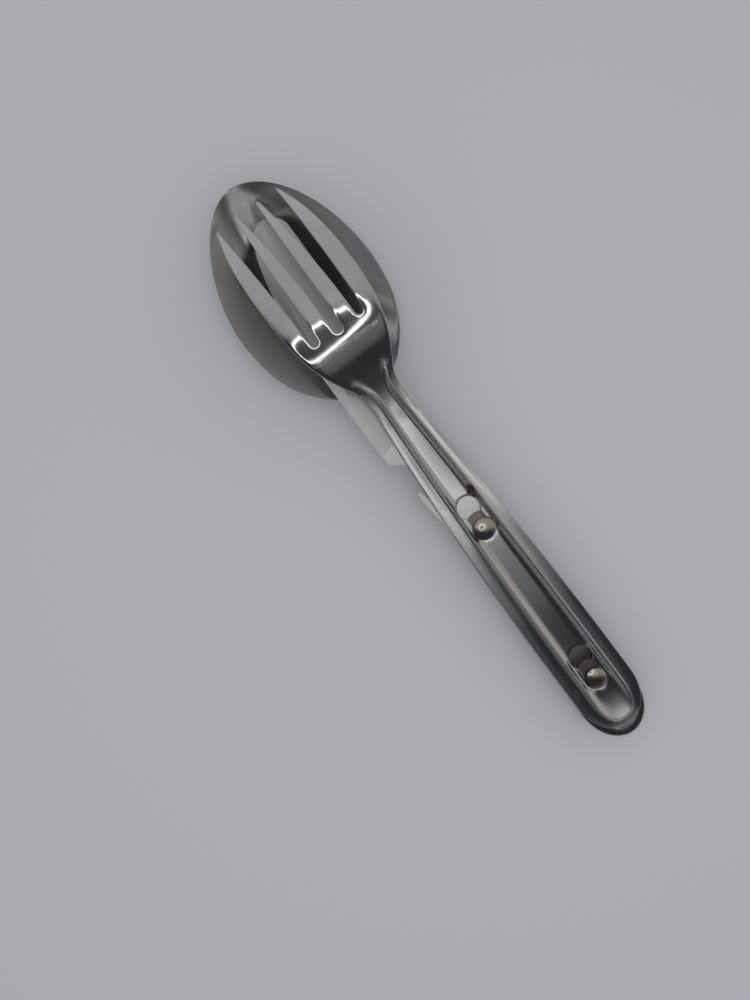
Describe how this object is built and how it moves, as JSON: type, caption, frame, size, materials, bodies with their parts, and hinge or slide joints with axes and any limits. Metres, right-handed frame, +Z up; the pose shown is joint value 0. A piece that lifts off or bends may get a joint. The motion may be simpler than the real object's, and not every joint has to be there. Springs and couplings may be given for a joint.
{
  "type": "nesting camp cutlery set",
  "caption": "Fork, knife and spoon of pressed steel nested flat on double-headed studs; keyhole handles slide off, and the knife has a cap lifter.",
  "frame": {"origin": "middle of the bounding box, on the surface that the set lies on", "axes": "+X from the spoon's tip to the handle's end, +Y towards the knife's spine, +Z up through the fork"},
  "size_m": [0.1836, 0.0422, 0.0217],
  "materials": {
    "spoon_steel": "polished stainless steel",
    "fork_steel": "brushed and buffed stainless steel",
    "blade_steel": "polished stainless steel with a ground edge",
    "stud_nickel": "warm, slightly tarnished nickel plate",
    "washer_steel": "plain steel washer"
  },
  "bodies": {
    "knife_body": {"knife": "blade_steel", "front_stud": "stud_nickel", "rear_stud": "stud_nickel", "front_washer_fork_side": "washer_steel", "front_washer_spoon_side": "washer_steel", "rear_washer_fork_side": "washer_steel", "rear_washer_spoon_side": "washer_steel"},
    "fork_body": {"fork": "fork_steel"},
    "spoon_body": {"spoon": "spoon_steel"}
  },
  "joints": [
    {"name": "fork_slide", "type": "slide", "parent": "knife_body", "child": "fork_body", "axis": [0.9991, 0, -0.0434], "range_m": [0, 0.007]},
    {"name": "spoon_slide", "type": "slide", "parent": "knife_body", "child": "spoon_body", "axis": [0.9991, 0, -0.0434], "range_m": [0, 0.007]}
  ]
}
